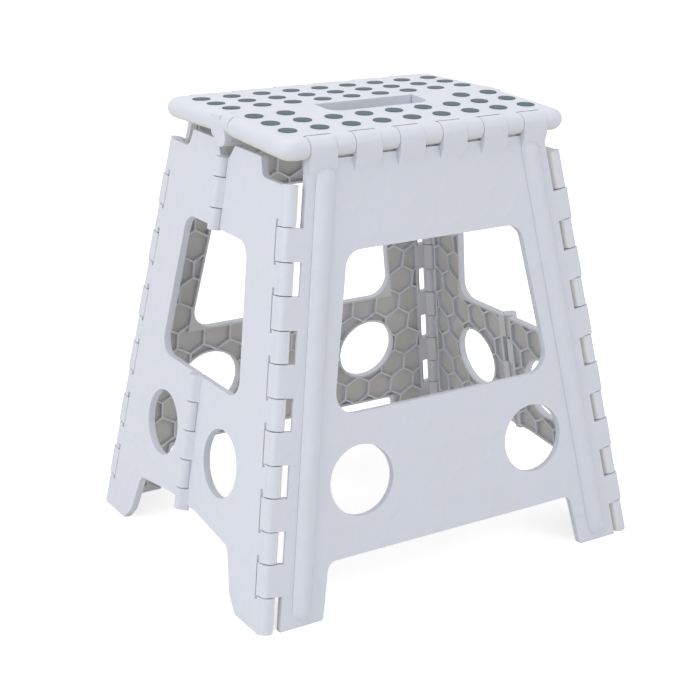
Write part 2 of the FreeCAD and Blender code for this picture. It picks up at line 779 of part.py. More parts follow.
def cut_centre_bores(body, label):
    """Pin bores of the upper and the lower row of middle barrels."""
    wall = size("bore_wall")
    for name, low, high in (
        ("lower", size("centre_lower_bottom"), size("centre_lower_top")),
        ("upper", size("centre_upper_bottom"), size("centre_top")),
    ):
        sketch = make_sketch(body, f"{label}_{name}_bore", centre_frame(low + wall))
        draw_hexagon(sketch, 0, 0, size("pin_radius") + size("pin_fit"))
        add_pocket(body, f"{label}_{name}_centre_bore", sketch, side_up(high - low) - 2 * wall, back=True)


# Seat halves. Their own frame has its origin on the edge pivot, Y towards the seam, Z up.
def seat_local(inward, height):
    """Y and Z in a seat half's frame of a point, inward being 0 at the seam."""
    point = SEAT_FRAME.inverse().multVec(Vector(0, inward, height))
    return point.y, point.z


def across_frame(start, y=0.0, z=0.0):
    """Frame that looks along X from x = start, with sketch axes along Y and Z."""
    return Placement(Vector(start, y, z), Rotation(Y_AXIS, Z_AXIS, X_AXIS, "XYZ"))


def cut_across(body, name, spans, outlines):
    """Cut the same outlines, in Y and Z, over several stretches of X."""
    for index, (start, stop) in enumerate(spans):
        sketch = make_sketch(body, f"{body.Label}_{name}{index}", across_frame(start))
        for outline in outlines:
            draw_polygon(sketch, [seat_local(*corner) for corner in outline])
        add_pocket(body, f"{body.Label}_{name}_cut{index}", sketch, stop - start, back=True)


def both_ends(low, high):
    """The stretch of X from low to high on both sides of the middle."""
    return [(-high, -low), (low, high)]


def seat_spans():
    """Stretches of X of the pivot barrels: end bosses, front barrels, inner barrels."""
    gap = size("hinge_gap")
    boss_in = HALF_LENGTH - size("boss_length")
    front_out = boss_in - gap
    front_in = front_out - size("seat_barrel_length")
    inner_out = front_in - gap
    return {
        "boss": (boss_in, HALF_LENGTH - 0.4),
        "front": (front_in, front_out),
        "inner": (inner_out - size("seat_inner_length"), inner_out),
    }


def outer_edges(shape):
    """Names of the long outer edges, above and below, that the rim's fillet follows."""
    names = []
    for index, edge in enumerate(shape.Edges, start=1):
        box = edge.BoundBox
        if abs(box.YMin + RIM) < 1e-3 and abs(box.YMax + RIM) < 1e-3 and box.XLength > HALF_LENGTH:
            names.append(f"Edge{index}")
    return names


def make_seat_blank(label, placement, beyond):
    """Plate with a bullnose rim on three sides, reaching beyond the seam."""
    body = make_body(label, placement)
    length = size("seat_length") / 2
    end = seat_local(beyond, HEIGHT)[0]
    sketch = make_sketch(body, label + "_outline", Placement(Vector(0, 0, -RIM), Rotation()))
    draw_polygon(sketch, [
        (-length, end),
        (-length, -RIM, size("window_corner")),
        (length, -RIM, size("window_corner")),
        (length, end),
    ])
    pad = add_pad(body, label + "_plate", sketch, "2 * Sizes.rim_radius")
    DOC.recompute()
    fillet = body.newObject("PartDesign::Fillet", label + "_bullnose")
    fillet.Base = (pad, outer_edges(pad.Shape))
    fillet.setExpression("Radius", "Sizes.rim_radius - 0.05")
    body.Tip = fillet
    DOC.recompute()
    return body


def add_seat_barrel(body, name, span, radius):
    """One barrel of the seat pivot with the web that carries it."""
    y, z = seat_local(0, HEIGHT - RIM / math.cos(TILT) - size("seat_pivot_drop"))
    under = RIM - size("seat_skin") / 2
    start, stop = span
    web = make_sketch(body, f"{body.Label}_{name}_web", across_frame(start))
    draw_polygon(web, [
        (y, z - radius * 0.999),
        (y, under),
        (y - radius * 1.7, under),
        (y - radius * 1.7, -RIM),
        (y - radius * 0.8, z - radius * 0.6),
    ])
    add_pad(body, f"{body.Label}_{name}_webs", web, stop - start)
    ring = make_sketch(body, f"{body.Label}_{name}_ring", across_frame(start))
    draw_circle(ring, y, z, radius)
    add_pad(body, f"{body.Label}_{name}_barrel", ring, stop - start)


def cut_seat_bore(body, name, span, draw, flat, y, z):
    """Bore along X, drawn round or with six flats."""
    start, stop = span
    sketch = make_sketch(body, f"{body.Label}_{name}_line", across_frame(start))
    draw(sketch, y, z, flat)
    add_pocket(body, f"{body.Label}_{name}_bore", sketch, stop - start, back=True)


def cut_tab_notches(body):
    """Clearance round the tabs of the front or rear panel."""
    clear = RIM + size("seat_tab_proud") + size("swing_gap")
    reach = clear / math.cos(math.radians(15))
    angles = [math.radians(30 * turn - 75) for turn in range(6)]
    gap = size("hinge_gap") / 2
    for index, middle in enumerate(seat_tab_centres()):
        start = middle - size("seat_tab_width") / 2 - gap
        sketch = make_sketch(body, f"{body.Label}_tab{index}", across_frame(start))
        round_side = [(reach * math.cos(a), reach * math.sin(a)) for a in angles]
        draw_polygon(sketch, [(-2 * RIM, -clear)] + round_side + [(-2 * RIM, clear)])
        add_pocket(body, f"{body.Label}_tab_notch{index}", sketch, size("seat_tab_width") + 2 * gap, back=True)


def seam_outline(reach):
    """Region taken off at the seam: a fine gap above and a wider one beside the pivot."""
    gap = -size("seam_gap") / 2
    pivot = HEIGHT - RIM / math.cos(TILT) - size("seat_pivot_drop")
    step = pivot + size("seam_relief") + 2
    return [
        (gap, HEIGHT + reach), (gap, step), (gap - size("seam_relief"), step),
        (gap - size("seam_relief"), HEIGHT - reach), (reach, HEIGHT - reach), (reach, HEIGHT + reach),
    ]


def under_skin_outline():
    """Region under the top skin where the other half's barrels turn."""
    clear = size("seat_knuckle_radius") + size("seat_open_fit") + size("swing_gap")
    pivot = HEIGHT - RIM / math.cos(TILT) - size("seat_pivot_drop")
    roof = HEIGHT - size("seat_skin") - size("swing_gap")
    return [
        (-clear, pivot - 2 * clear), (clear, pivot - 2 * clear), (clear, roof),
        (-clear * 0.75, roof), (-clear, pivot + clear * 0.5),
    ]


def finish_seat(body, spans, handle):
    """Edge pivot, tab notches and honeycomb that both halves share."""
    pin = size("pin_radius") + size("pin_fit")
    cut_tab_notches(body)
    reach = HALF_LENGTH - 1.5 * RIM
    cut_seat_bore(body, "edge", (-reach, reach), draw_hexagon, pin, 0, 0)
    wall = RIM + 3
    seam = seat_local(0, HEIGHT)[0]
    outline = [
        (-HALF_LENGTH + wall, wall), (HALF_LENGTH - wall, wall), (HALF_LENGTH - wall, seam), (-HALF_LENGTH + wall, seam),
    ]
    low = min(span[0] for span in spans) - size("edge_wall") / 2
    drop = 1.7 * size("seat_knuckle_radius")
    keep = [
        [(side * low, seam - drop), (side * HALF_LENGTH, seam - drop), (side * HALF_LENGTH, seam + 9), (side * low, seam + 9)]
        for side in (-1, 1)
    ]
    if handle:
        keep.append(handle)
    cut_honeycomb(body, outline, keep, [], "2 * Sizes.rim_radius - Sizes.seat_skin", -RIM)


def make_seat_front():
    """Front half of the seat, with the hand slot and the middle barrels of its pivot."""
    body = make_seat_blank("seat_front", SEAT_FRAME, 0)
    spans = seat_spans()
    ear = -size("boss_half_width") - size("seam_gap")
    above = 4 * RIM
    cut_across(body, "seam", [(-HALF_LENGTH - 1, HALF_LENGTH + 1)], [seam_outline(above)])
    rim_in = HALF_LENGTH - 1.25 * RIM
    corner = [(ear, HEIGHT - above), (above, HEIGHT - above), (above, HEIGHT + above), (ear, HEIGHT + above)]
    cut_across(body, "ear", both_ends(rim_in, HALF_LENGTH + 1), [corner])
    roof = HEIGHT - size("seat_skin") - size("swing_gap")
    back = -size("boss_half_width") - size("swing_gap")
    under = [(back, HEIGHT - above), (above, HEIGHT - above), (above, roof), (back, roof)]
    cut_across(body, "boss", both_ends(spans["boss"][0] - size("hinge_gap") / 2, rim_in + 0.1), [under])
    gap = size("hinge_gap")
    low, high = spans["inner"]
    cut_across(body, "inner", both_ends(low - gap, high + gap / 2), [under_skin_outline()])
    seam = seat_local(0, HEIGHT)[0]
    half = size("handle_length") / 2
    depth = size("handle_width")
    slot = make_sketch(body, "handle", Placement(Vector(0, 0, 2 * RIM), Rotation()))
    draw_polygon(slot, [
        (-half, seam + RIM), (-half, seam - depth, size("handle_corner")),
        (half, seam - depth, size("handle_corner")), (half, seam + RIM),
    ])
    add_pocket(body, "hand_slot", slot, "4 * Sizes.rim_radius")
    y, z = seat_local(0, HEIGHT - RIM / math.cos(TILT) - size("seat_pivot_drop"))
    for name, span in zip(("left", "right"), both_ends(*spans["front"])):
        add_seat_barrel(body, name, span, size("seat_knuckle_radius"))
        wide = (span[0] - 1, span[1] + 1)
        cut_seat_bore(body, name, wide, draw_circle, size("pin_radius") + size("seat_open_fit"), y, z)
    keep = [(-half, seam - depth), (half, seam - depth), (half, seam + 9), (-half, seam + 9)]
    finish_seat(body, [spans["front"], spans["inner"]], keep)
    return body


def make_seat_rear():
    """Rear half of the seat, with the end bosses and the inner barrels of its pivot."""
    body = make_seat_blank("seat_rear", HALF_TURN * SEAT_FRAME, size("boss_half_width") + 2)
    spans = seat_spans()
    above = 4 * RIM
    rim_in = HALF_LENGTH - 1.25 * RIM
    cut_across(body, "seam", [(-rim_in - size("seam_gap"), rim_in + size("seam_gap"))], [seam_outline(above)])
    ear = size("boss_half_width")
    slope = math.tan(TILT)
    trim = [
        (ear, HEIGHT - above), (above, HEIGHT - above), (above, HEIGHT + above), (0, HEIGHT + above),
        (0, HEIGHT), (ear, HEIGHT - ear * slope),
    ]
    cut_across(body, "ear", both_ends(rim_in - 1, HALF_LENGTH + 1), [trim])
    gap = size("hinge_gap")
    low, high = spans["front"]
    cut_across(body, "front", both_ends(low - gap / 2, high + gap / 2), [under_skin_outline()])
    y, z = seat_local(0, HEIGHT - RIM / math.cos(TILT) - size("seat_pivot_drop"))
    radius = size("seat_knuckle_radius")
    pin = size("pin_radius") + size("pin_fit")
    for name in ("boss", "inner"):
        for side, span in zip(("left", "right"), both_ends(*spans[name])):
            add_seat_barrel(body, f"{name}_{side}", span, radius + (0.4 if name == "boss" else 0))
    wall = size("bore_wall")
    for side, span in zip(("left", "right"), both_ends(spans["inner"][0] + wall, spans["boss"][1] - wall)):
        cut_seat_bore(body, f"pivot_{side}", span, draw_hexagon, pin, y, z)
    finish_seat(body, [spans["front"], spans["inner"]], None)
    return body


# Pins and anti-slip discs.
def make_pin(label, start, way, length):
    """A plain round pin."""
    pin = DOC.addObject("Part::Cylinder", label)
    pin.Label = label
    pin.setExpression("Radius", "Sizes.pin_radius")
    pin.Height = length
    pin.Placement = Placement(start, Rotation(Z_AXIS, way))
    return pin


def turned(point):
    """A point or direction after half a turn about Z."""
    return Vector(-point.x, -point.y, point.z)


def mirrored(point):
    """A point or direction mirrored from left to right."""
    return Vector(-point.x, point.y, point.z)


def make_pins():
    """Corner pins, middle pins of the ends, and the pins of the seat."""
    nodes = {}
    end = size("bore_wall") + size("pin_end_gap")
    low = size("barrel_radius") / 2 + size("pin_end_gap")
    run = (size("side_shoulder") - 2 * low) / CORNER_WAY.z
    start = corner_point(low)
    for name, change in (
        ("front_left", lambda p: p), ("rear_right", turned), ("front_right", mirrored),
        ("rear_left", lambda p: mirrored(turned(p))),
    ):
        label = f"{name}_corner_pin"
        nodes[label] = make_pin(label, change(start), change(CORNER_WAY), run)
    for row, bottom, top in (
        ("lower", size("centre_lower_bottom"), size("centre_lower_top")),
        ("upper", size("centre_upper_bottom"), size("centre_top")),
    ):
        start = CENTRE_FOOT + SIDE_UP * side_up(bottom + end)
        for name, change in (("left", lambda p: p), ("right", mirrored)):
            label = f"{name}_{row}_pin"
            nodes[label] = make_pin(label, change(start), change(SIDE_UP), side_up(top - bottom) - 2 * end)
    reach = HALF_LENGTH - 1.5 * RIM - size("pin_end_gap")
    for name, side in (("front", 1), ("rear", -1)):
        start = Vector(-reach, side * EDGE_PIVOT.y, EDGE_PIVOT.z)
        nodes[f"seat_{name}_pin"] = make_pin(f"seat_{name}_pin", start, X_AXIS, 2 * reach)
    spans = seat_spans()
    height = HEIGHT - RIM / math.cos(TILT) - size("seat_pivot_drop")
    run = spans["boss"][1] - spans["inner"][0] - 2 * end
    pins = []
    for name, start in (("left", -spans["boss"][1] + end), ("right", spans["inner"][0] + end)):
        pins.append(make_pin(f"seat_{name}_middle_pin", Vector(start, 0, height), X_AXIS, run))
    nodes["seat_middle_pins"] = make_group("seat_middle_pins", pins)
    return nodes


def make_group(label, parts):
    """Several small solids as one node."""
    group = DOC.addObject("Part::Compound", label)
    group.Label = label
    group.Links = parts
    return group


def make_dots(label, frame, rows):
    """Anti-slip discs on one half of the seat."""
    seam = seat_local(0, HEIGHT)[0]
    dots = []
    for row, columns in enumerate(rows):
        y = seam - size("dot_first_row") - row * size("dot_pitch_y")
        for column in columns:
            dot = DOC.addObject("Part::Prism", f"{label}_{row}_{column + 4}")
            dot.Polygon = 16
            dot.setExpression("Circumradius", "Sizes.dot_radius")
            dot.setExpression("Height", "Sizes.dot_height")
            dot.Placement = frame * Placement(Vector(column * size("dot_pitch_x"), y, RIM), Rotation())
            dots.append(dot)
    return make_group(label, dots)


def build_all():
    """Every sub-part, by its node name."""
    fit = size("pin_fit")
    wide = size("open_pivot_fit")
    every = range(-4, 5)
    ends = (-4, -3, 3, 4)
    nodes = {}
    nodes["front_panel"] = make_front("front_panel", FRONT_FRAME, (fit, fit))
    nodes["rear_panel"] = make_front("rear_panel", HALF_TURN * FRONT_FRAME, (fit, fit))
    nodes["left_front_side"] = make_side("left_front_side", SIDE_FRAME, 1, 0, fit)
    nodes["left_rear_side"] = make_side("left_rear_side", SIDE_FRAME, -1, 1, fit)
    nodes["right_rear_side"] = make_side("right_rear_side", HALF_TURN * SIDE_FRAME, 1, 0, fit)
    nodes["right_front_side"] = make_side("right_front_side", HALF_TURN * SIDE_FRAME, -1, 1, wide)
    nodes["seat_front"] = make_seat_front()
    nodes["seat_rear"] = make_seat_rear()
    nodes.update(make_pins())
    nodes["front_dots"] = make_dots("front_dots", SEAT_FRAME, (ends, every, every))
    nodes["rear_dots"] = make_dots("rear_dots", HALF_TURN * SEAT_FRAME, (every, every, every))
    return nodes


def check_and_write(nodes):
    """Refuse any failed object or shape, then write one STEP file for each node."""
    DOC.recompute()
    for item in DOC.Objects:
        if "Invalid" in item.State or "Error" in item.State:
            raise RuntimeError(f"{item.Label} failed: {item.State}")
    for name, item in nodes.items():
        shape = item.Shape
        if shape.isNull() or not shape.isValid() or not shape.Solids:
            raise RuntimeError(f"{name} has no valid solid")
        print(name, "solids", len(shape.Solids), "volume", round(shape.Volume), shape.BoundBox)
    os.makedirs("parts", exist_ok=True)
    for name, item in nodes.items():
        item.Shape.exportStep(os.path.join("parts", name + ".step"))


check_and_write(build_all())
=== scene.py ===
import json
import logging
import math
from dataclasses import dataclass, field
from enum import Enum

import bmesh
import bpy
from mathutils import Matrix, Vector

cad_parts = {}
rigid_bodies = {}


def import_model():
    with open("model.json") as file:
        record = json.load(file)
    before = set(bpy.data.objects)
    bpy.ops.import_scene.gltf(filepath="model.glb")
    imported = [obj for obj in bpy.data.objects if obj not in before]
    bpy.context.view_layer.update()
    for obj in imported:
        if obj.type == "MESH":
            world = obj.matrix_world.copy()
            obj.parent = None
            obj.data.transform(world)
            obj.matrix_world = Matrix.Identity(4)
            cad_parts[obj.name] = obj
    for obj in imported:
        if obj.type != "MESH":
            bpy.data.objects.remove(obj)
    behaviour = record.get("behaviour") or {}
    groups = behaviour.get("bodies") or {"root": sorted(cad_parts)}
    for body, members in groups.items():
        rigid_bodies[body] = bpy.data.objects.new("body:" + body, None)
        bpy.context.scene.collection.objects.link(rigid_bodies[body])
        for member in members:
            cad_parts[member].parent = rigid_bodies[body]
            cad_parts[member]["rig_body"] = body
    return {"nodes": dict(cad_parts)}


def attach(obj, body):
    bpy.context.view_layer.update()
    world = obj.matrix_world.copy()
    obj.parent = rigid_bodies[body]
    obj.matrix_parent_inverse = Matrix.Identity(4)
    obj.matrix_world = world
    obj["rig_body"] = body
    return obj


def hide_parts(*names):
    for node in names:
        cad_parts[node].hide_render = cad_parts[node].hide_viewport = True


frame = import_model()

LOG = logging.getLogger("folding_step_stool")
MM = 0.001


class Slot(Enum):
    """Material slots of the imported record."""

    PLASTIC = "white_plastic"
    RUBBER = "grip_rubber"
    STEEL = "steel_pin"


class Relief(Enum):
    """Which flat pattern reads through a face."""

    FRONT = "front"
    REAR = "rear"
    LEFT = "left"
    RIGHT = "right"
    SEAT = "seat"


@dataclass(frozen=True)
class PlasticFinish:
    """Moulded polypropylene.

    Attributes:
        colour: Base colour, linear.
        shade: Second colour that the broad mottle mixes in at random.
        painted_pocket_shade: Painted shade at the bottom of the cells on the inner sides, a darker and
            warmer colour for the little light that reaches there.
        painted_crest_light: Painted light along the tops of the ribs on the inner sides, lighter than the
            cell floors.
        roughness: Mean roughness.
        grain_scale: Cells of fine surface grain per metre.
        grain_depth: Strength of the grain's bump.
        grain_step: Height of the grain in metres.
        relief_depth: Height of the honeycomb that reads through, in metres.
    """

    colour: tuple = (0.70, 0.725, 0.805)
    shade: tuple = (0.655, 0.67, 0.73)
    painted_pocket_shade: tuple = (0.70, 0.69, 0.665)
    painted_crest_light: tuple = (0.84, 0.835, 0.835)
    roughness: float = 0.42
    grain_scale: float = 900.0
    grain_depth: float = 0.05
    grain_step: float = 0.00004
    relief_depth: float = 0.00026


@dataclass(frozen=True)
class RubberFinish:
    """Soft anti-slip discs."""

    colour: tuple = (0.055, 0.085, 0.11)
    worn: tuple = (0.09, 0.125, 0.15)
    roughness: float = 0.62
    grain_scale: float = 1500.0


@dataclass(frozen=True)
class SteelFinish:
    """Drawn wire of the hinge pins."""

    colour: tuple = (0.52, 0.52, 0.53)
    roughness: float = 0.34


@dataclass(frozen=True)
class Lean:
    """Sizes of the leaning panels, in metres."""

    height: float = 0.390
    foot_y: float = 0.1576
    foot_x: float = 0.1906
    in_y: float = 0.0567
    in_x: float = 0.0627

    def frame(self, relief: Relief) -> Matrix:
        """Frame of a panel: X along it, Y up its face, Z outwards.

        Args:
            relief: Which panel.

        Returns:
            The frame, with its origin on the floor line of the outer face.
        """
        if relief is Relief.SEAT:
            return Matrix.Identity(4)
        if relief in (Relief.FRONT, Relief.REAR):
            up = Vector((0.0, math.sin(self.front), math.cos(self.front)))
            out = Vector((0.0, -math.cos(self.front), math.sin(self.front)))
            foot = Vector((0.0, -self.foot_y, 0.0))
        else:
            up = Vector((math.sin(self.side), 0.0, math.cos(self.side)))
            out = Vector((-math.cos(self.side), 0.0, math.sin(self.side)))
            foot = Vector((-self.foot_x, 0.0, 0.0))
        turn = Matrix((up.cross(out), up, out)).transposed().to_4x4()
        place = Matrix.Translation(foot) @ turn
        if relief in (Relief.REAR, Relief.RIGHT):
            place = Matrix.Rotation(math.pi, 4, "Z") @ place
        return place

    @property
    def front(self) -> float:
        """Angle of the front panel from upright, in radians."""
        return math.atan(self.in_y / self.height)

    @property
    def side(self) -> float:
        """Angle of an end panel from upright, in radians."""
        return math.atan(self.in_x / self.height)


@dataclass(frozen=True)
class PhotoView:
    """Camera that was fitted to the photograph, in metres and degrees."""

    azimuth: float = -34.70
    elevation: float = 19.155
    roll: float = 1.24
    distance: float = 1.5272
    target: tuple = (0.0930, 0.0, 0.1467)
    focal_pixels: float = 1631.3
    centre_shift: tuple = (97.8, -0.98)
    image_size: int = 700


@dataclass(frozen=True)
class RibGrid:
    """Honeycomb of ribs behind the skins, in metres.

    Args:
        pitch: Distance between the centres of neighbouring cells.
        rib: Thickness of a rib.
        skin: Thickness of the closed outer skin.
        depth: Thickness of the whole panel.
        first_row: Height of the lowest row of cells up the panel's face.
        rows: Number of rows.
        columns: Number of cells in a row.
        wall: Rim that stays along the outlines, windows and holes.
        half_centre: Distance of an end panel half's grid from the middle fold.
        cut_height: Height of the cells that are cut.
    """

    pitch: float = 0.027
    rib: float = 0.0019
    skin: float = 0.0026
    depth: float = 0.0062
    first_row: float = 0.016203
    rows: int = 18
    columns: int = 17
    wall: float = 0.0022
    half_centre: float = 0.07506
    cut_height: float = 0.012


class NodeKit:
    """Small helper to write node trees.

    Args:
        tree: Node tree to fill.
    """

    def __init__(self, tree: bpy.types.NodeTree) -> None:
        self.tree = tree
        self.column = 0

    def add(self, kind: str, **settings: object) -> bpy.types.Node:
        """Add a node.

        Args:
            kind: Blender's node type.
            settings: Attributes to set on it.

        Returns:
            The new node.
        """
        node = self.tree.nodes.new(kind)
        node.location = (self.column * 180, 0)
        self.column += 1
        for name, value in settings.items():
            setattr(node, name, value)
        return node

    def link(self, source: bpy.types.NodeSocket, target: bpy.types.NodeSocket) -> None:
        """Join two sockets."""
        self.tree.links.new(source, target)

    def math(self, operation: str, first: object, second: object = None) -> bpy.types.NodeSocket:
        """A Math node fed with sockets or numbers.

        Returns:
            Its output socket.
        """
        node = self.add("ShaderNodeMath", operation=operation)
        for index, value in enumerate((first, second)):
            if value is None:
                continue
            if isinstance(value, (int, float)):
                node.inputs[index].default_value = value
            else:
                self.link(value, node.inputs[index])
        return node.outputs[0]

    def vector(self, operation: str, first: object, second: object = None) -> bpy.types.Node:
        """A Vector Math node fed with sockets or triples.

        Returns:
            The node.
        """
        node = self.add("ShaderNodeVectorMath", operation=operation)
        for index, value in enumerate((first, second)):
            if value is None:
                continue
            if isinstance(value, tuple):
                node.inputs[index].default_value = value
            else:
                self.link(value, node.inputs[index])
        return node


class SharedEffects:
    """Shader node groups that several finishes use."""

    def __init__(self) -> None:
        self.hexagons = self._hexagons()
        self.grain = self._grain()

    @staticmethod
    def _group(name: str, inputs: list, outputs: list) -> tuple:
        """Empty shader group with its sockets.

        Returns:
            The group, its helper, its input node and its output node.
        """
        group = bpy.data.node_groups.new(name, "ShaderNodeTree")
        for kind, label, value in inputs:
            socket = group.interface.new_socket(name=label, in_out="INPUT", socket_type=kind)
            if value is not None:
                socket.default_value = value
        for kind, label in outputs:
            group.interface.new_socket(name=label, in_out="OUTPUT", socket_type=kind)
        kit = NodeKit(group)
        return group, kit, kit.add("NodeGroupInput"), kit.add("NodeGroupOutput")

    def _hexagons(self) -> bpy.types.NodeTree:
        """Honeycomb in the XY plane of the vector: 1 on the ribs, 0 in the cells."""
        group, kit, entry, leave = self._group(
            "HoneycombRelief",
            [
                ("NodeSocketVector", "Vector", None),
                ("NodeSocketFloat", "Pitch", 0.027),
                ("NodeSocketFloat", "Rib", 0.2),
            ],
            [("NodeSocketFloat", "Rib")],
        )
        root = math.sqrt(3.0)
        scaled = kit.add("ShaderNodeVectorMath", operation="SCALE")
        kit.link(entry.outputs["Vector"], scaled.inputs[0])
        kit.link(kit.math("DIVIDE", 1.0, entry.outputs["Pitch"]), scaled.inputs["Scale"])
        flat = kit.vector("MULTIPLY", scaled.outputs[0], (1.0, 1.0, 0.0))
        lengths = []
        vectors = []
        for shift in ((0.0, 0.0, 0.0), (0.5, root / 2, 0.0)):
            moved = kit.vector("ADD", flat.outputs[0], (shift[0] + 50.0, shift[1] + 50.0 * root, 0.0))
            wrapped = kit.vector("MODULO", moved.outputs[0], (1.0, root, 1.0))
            centred = kit.vector("SUBTRACT", wrapped.outputs[0], (0.5, root / 2, 0.0))
            folded = kit.vector("ABSOLUTE", centred.outputs[0])
            vectors.append(folded.outputs[0])
            lengths.append(kit.vector("LENGTH", folded.outputs[0]).outputs["Value"])
        nearer = kit.math("LESS_THAN", lengths[1], lengths[0])
        pick = kit.add("ShaderNodeMix", data_type="VECTOR")
        kit.link(nearer, pick.inputs["Factor"])
        kit.link(vectors[0], pick.inputs[4])
        kit.link(vectors[1], pick.inputs[5])
        chosen = pick.outputs[1]
        slanted = kit.vector("DOT_PRODUCT", chosen, (0.5, root / 2, 0.0)).outputs["Value"]
        straight = kit.vector("DOT_PRODUCT", chosen, (1.0, 0.0, 0.0)).outputs["Value"]
        reach = kit.math("MAXIMUM", slanted, straight)
        ramp = kit.add("ShaderNodeMapRange", interpolation_type="SMOOTHSTEP")
        kit.link(reach, ramp.inputs["Value"])
        kit.link(kit.math("SUBTRACT", 0.5, entry.outputs["Rib"]), ramp.inputs["From Min"])
        ramp.inputs["From Max"].default_value = 0.5
        kit.link(ramp.outputs["Result"], leave.inputs["Rib"])
        return group

    def _grain(self) -> bpy.types.NodeTree:
        """Fine moulded grain with a little mottling, for bump and roughness."""
        group, kit, entry, leave = self._group(
            "MouldGrain",
            [("NodeSocketVector", "Vector", None), ("NodeSocketFloat", "Scale", 900.0)],
            [("NodeSocketFloat", "Height"), ("NodeSocketFloat", "Mottle")],
        )
        fine = kit.add("ShaderNodeTexNoise")
        fine.inputs["Detail"].default_value = 3.0
        kit.link(entry.outputs["Vector"], fine.inputs["Vector"])
        kit.link(entry.outputs["Scale"], fine.inputs["Scale"])
        broad = kit.add("ShaderNodeTexNoise")
        broad.inputs["Scale"].default_value = 14.0
        broad.inputs["Detail"].default_value = 4.0
        kit.link(entry.outputs["Vector"], broad.inputs["Vector"])
        kit.link(fine.outputs["Fac"], leave.inputs["Height"])
        kit.link(broad.outputs["Fac"], leave.inputs["Mottle"])
        return group


